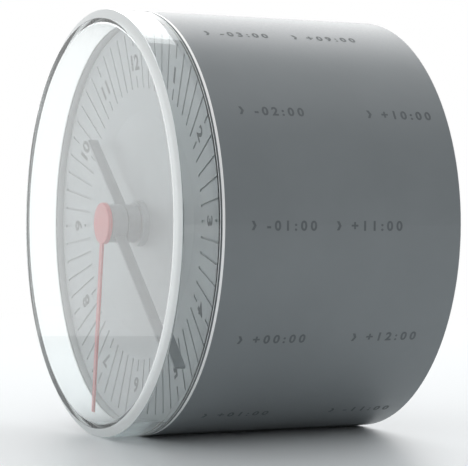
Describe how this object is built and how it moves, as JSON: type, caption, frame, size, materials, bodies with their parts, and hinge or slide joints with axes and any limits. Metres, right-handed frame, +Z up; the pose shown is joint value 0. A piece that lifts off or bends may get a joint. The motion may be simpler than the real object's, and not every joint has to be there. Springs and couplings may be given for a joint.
{
  "type": "world time clock",
  "caption": "Drum-shaped desk clock with a clear cap, an engraved dial and a hanging movement that keeps its hands upright while the drum is rolled.",
  "frame": {"origin": "on the table under the middle of the drum, where it rests", "axes": "+Y along the drum's axis from the dial to the rear cover, +Z up, +X to the right of the dial"},
  "size_m": [0.1, 0.07, 0.1],
  "materials": {
    "housing": "matte grey anodised",
    "clear_cap": "clear polished acrylic",
    "bright_ring": "polished bright",
    "dial_silver": "fine matte silver",
    "hub_grey": "satin grey",
    "hand_grey": "matte grey",
    "signal_red": "satin red",
    "brass": "turned",
    "inner_plate": "brushed",
    "felt": "pressed felt",
    "rear_plastic": "fine moulded texture",
    "screw_steel": "plated",
    "cast_weight": "as cast",
    "black_plastic": "moulded",
    "wheel_plastic": "moulded natural",
    "copper_wire": "enamelled wire",
    "board_green": "solder mask",
    "battery_shell": "printed sleeve",
    "contact_metal": "nickel plated",
    "knob_plastic": "moulded"
  },
  "bodies": {
    "drum": {"housing_tube": "housing", "front_cap": "clear_cap", "trim_ring": "bright_ring", "dial": "dial_silver", "dial_bush": "hub_grey", "dial_bush_nut": "brass", "rear_bridge": "inner_plate", "rear_bush": "brass", "brake_washer": "felt", "rear_cover": "rear_plastic", "cover_screws": "screw_steel"},
    "movement": {"front_journal": "brass", "carrier_front_plate": "inner_plate", "carrier_rear_plate": "inner_plate", "carrier_pillars": "screw_steel", "carrier_screws": "screw_steel", "counterweight": "cast_weight", "movement_front": "black_plastic", "train_plate": "black_plastic", "movement_rear": "black_plastic", "movement_screws": "screw_steel", "stator": "screw_steel", "coil_core": "screw_steel", "coil_bobbin": "wheel_plastic", "coil_winding": "copper_wire", "circuit_board": "board_green", "battery_tray": "black_plastic", "battery": "battery_shell", "battery_contacts": "contact_metal"},
    "second_set": {"second_wheel": "wheel_plastic", "second_hand": "signal_red"},
    "minute_set": {"minute_wheel": "wheel_plastic", "minute_hand": "hand_grey"},
    "hour_set": {"hour_wheel": "wheel_plastic", "hour_hand": "hand_grey"},
    "rotor": {"rotor": "wheel_plastic"},
    "step_wheel": {"step_wheel": "wheel_plastic"},
    "third_wheel": {"third_wheel": "wheel_plastic"},
    "motion_wheel": {"motion_wheel": "wheel_plastic"},
    "setting_set": {"setting_arbor": "wheel_plastic", "setting_knob": "knob_plastic"}
  },
  "joints": [
    {"name": "movement_swing", "type": "hinge", "parent": "drum", "child": "movement", "pos_m": [0, 0, 0.05], "axis": [0, 1, 0], "continuous": true},
    {"name": "second_hand_turn", "type": "hinge", "parent": "movement", "child": "second_set", "pos_m": [0, 0, 0.05], "axis": [0, 1, 0], "continuous": true},
    {"name": "minute_hand_turn", "type": "hinge", "parent": "movement", "child": "minute_set", "pos_m": [0, 0, 0.05], "axis": [0, 1, 0], "continuous": true},
    {"name": "hour_hand_turn", "type": "hinge", "parent": "movement", "child": "hour_set", "pos_m": [0, 0, 0.05], "axis": [0, 1, 0], "continuous": true},
    {"name": "rotor_turn", "type": "hinge", "parent": "movement", "child": "rotor", "pos_m": [0.00776, 0, 0.06039], "axis": [0, 1, 0], "continuous": true},
    {"name": "step_wheel_turn", "type": "hinge", "parent": "movement", "child": "step_wheel", "pos_m": [0.0036, 0, 0.05624], "axis": [0, 1, 0], "continuous": true},
    {"name": "third_wheel_turn", "type": "hinge", "parent": "movement", "child": "third_wheel", "pos_m": [-0.00764, 0, 0.05764], "axis": [0, 1, 0], "continuous": true},
    {"name": "motion_wheel_turn", "type": "hinge", "parent": "movement", "child": "motion_wheel", "pos_m": [0.00953, 0, 0.0445], "axis": [0, 1, 0], "continuous": true},
    {"name": "setting_knob_turn", "type": "hinge", "parent": "movement", "child": "setting_set", "pos_m": [0, 0, 0.05], "axis": [0, 1, 0], "continuous": true}
  ],
  "couplings": [
    {"joint": "step_wheel_turn", "follows": "second_hand_turn", "ratio": -5},
    {"joint": "rotor_turn", "follows": "second_hand_turn", "ratio": 30},
    {"joint": "third_wheel_turn", "follows": "second_hand_turn", "ratio": -0.125},
    {"joint": "minute_hand_turn", "follows": "second_hand_turn", "ratio": 0.016667},
    {"joint": "motion_wheel_turn", "follows": "second_hand_turn", "ratio": -0.0055556},
    {"joint": "hour_hand_turn", "follows": "second_hand_turn", "ratio": 0.0013889},
    {"joint": "setting_knob_turn", "follows": "second_hand_turn", "ratio": 0.013889}
  ]
}
